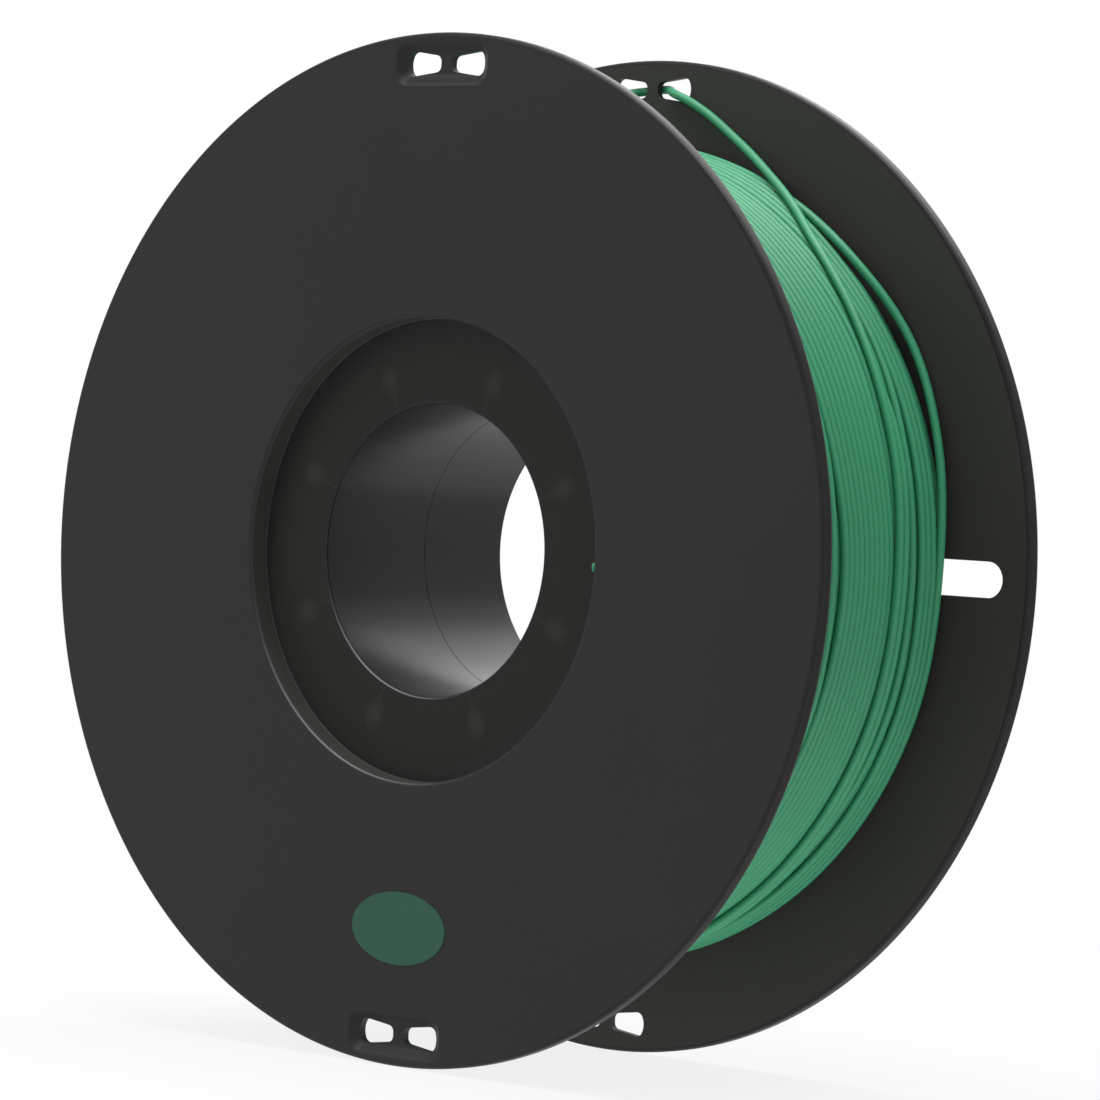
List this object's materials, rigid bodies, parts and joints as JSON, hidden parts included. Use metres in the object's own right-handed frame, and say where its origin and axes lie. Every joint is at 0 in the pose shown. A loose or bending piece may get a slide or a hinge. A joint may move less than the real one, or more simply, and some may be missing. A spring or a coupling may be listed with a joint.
{
  "type": "wire spool",
  "caption": "Two-part moulded plastic spool wound with green insulated wire, with a sunk hub, an arbor hole, a sight slot and paired anchor holes in the rim.",
  "frame": {"origin": "middle of the spool, on the arbor hole's axis, half way between the flanges' outer faces", "axes": "Y along the spool's axis, -Y out of the flange with the oval label and +Y out of the flange with the sight slot; +Z towards the anchor holes that the wire's free end goes through; +X towards the sight slot"},
  "size_m": [0.2, 0.0664, 0.2],
  "materials": {
    "spool_plastic": "satin moulded plastic, charcoal",
    "wire_insulation": "glossy green insulation",
    "label_paper": "matt grey-green"
  },
  "bodies": {
    "root": {"front_half": "spool_plastic", "rear_half": "spool_plastic", "wire_inner_layers": "wire_insulation", "wire_outer_layer": "wire_insulation", "wire_free_end": "wire_insulation", "wire_start_end": "wire_insulation", "label": "label_paper"}
  },
  "joints": []
}
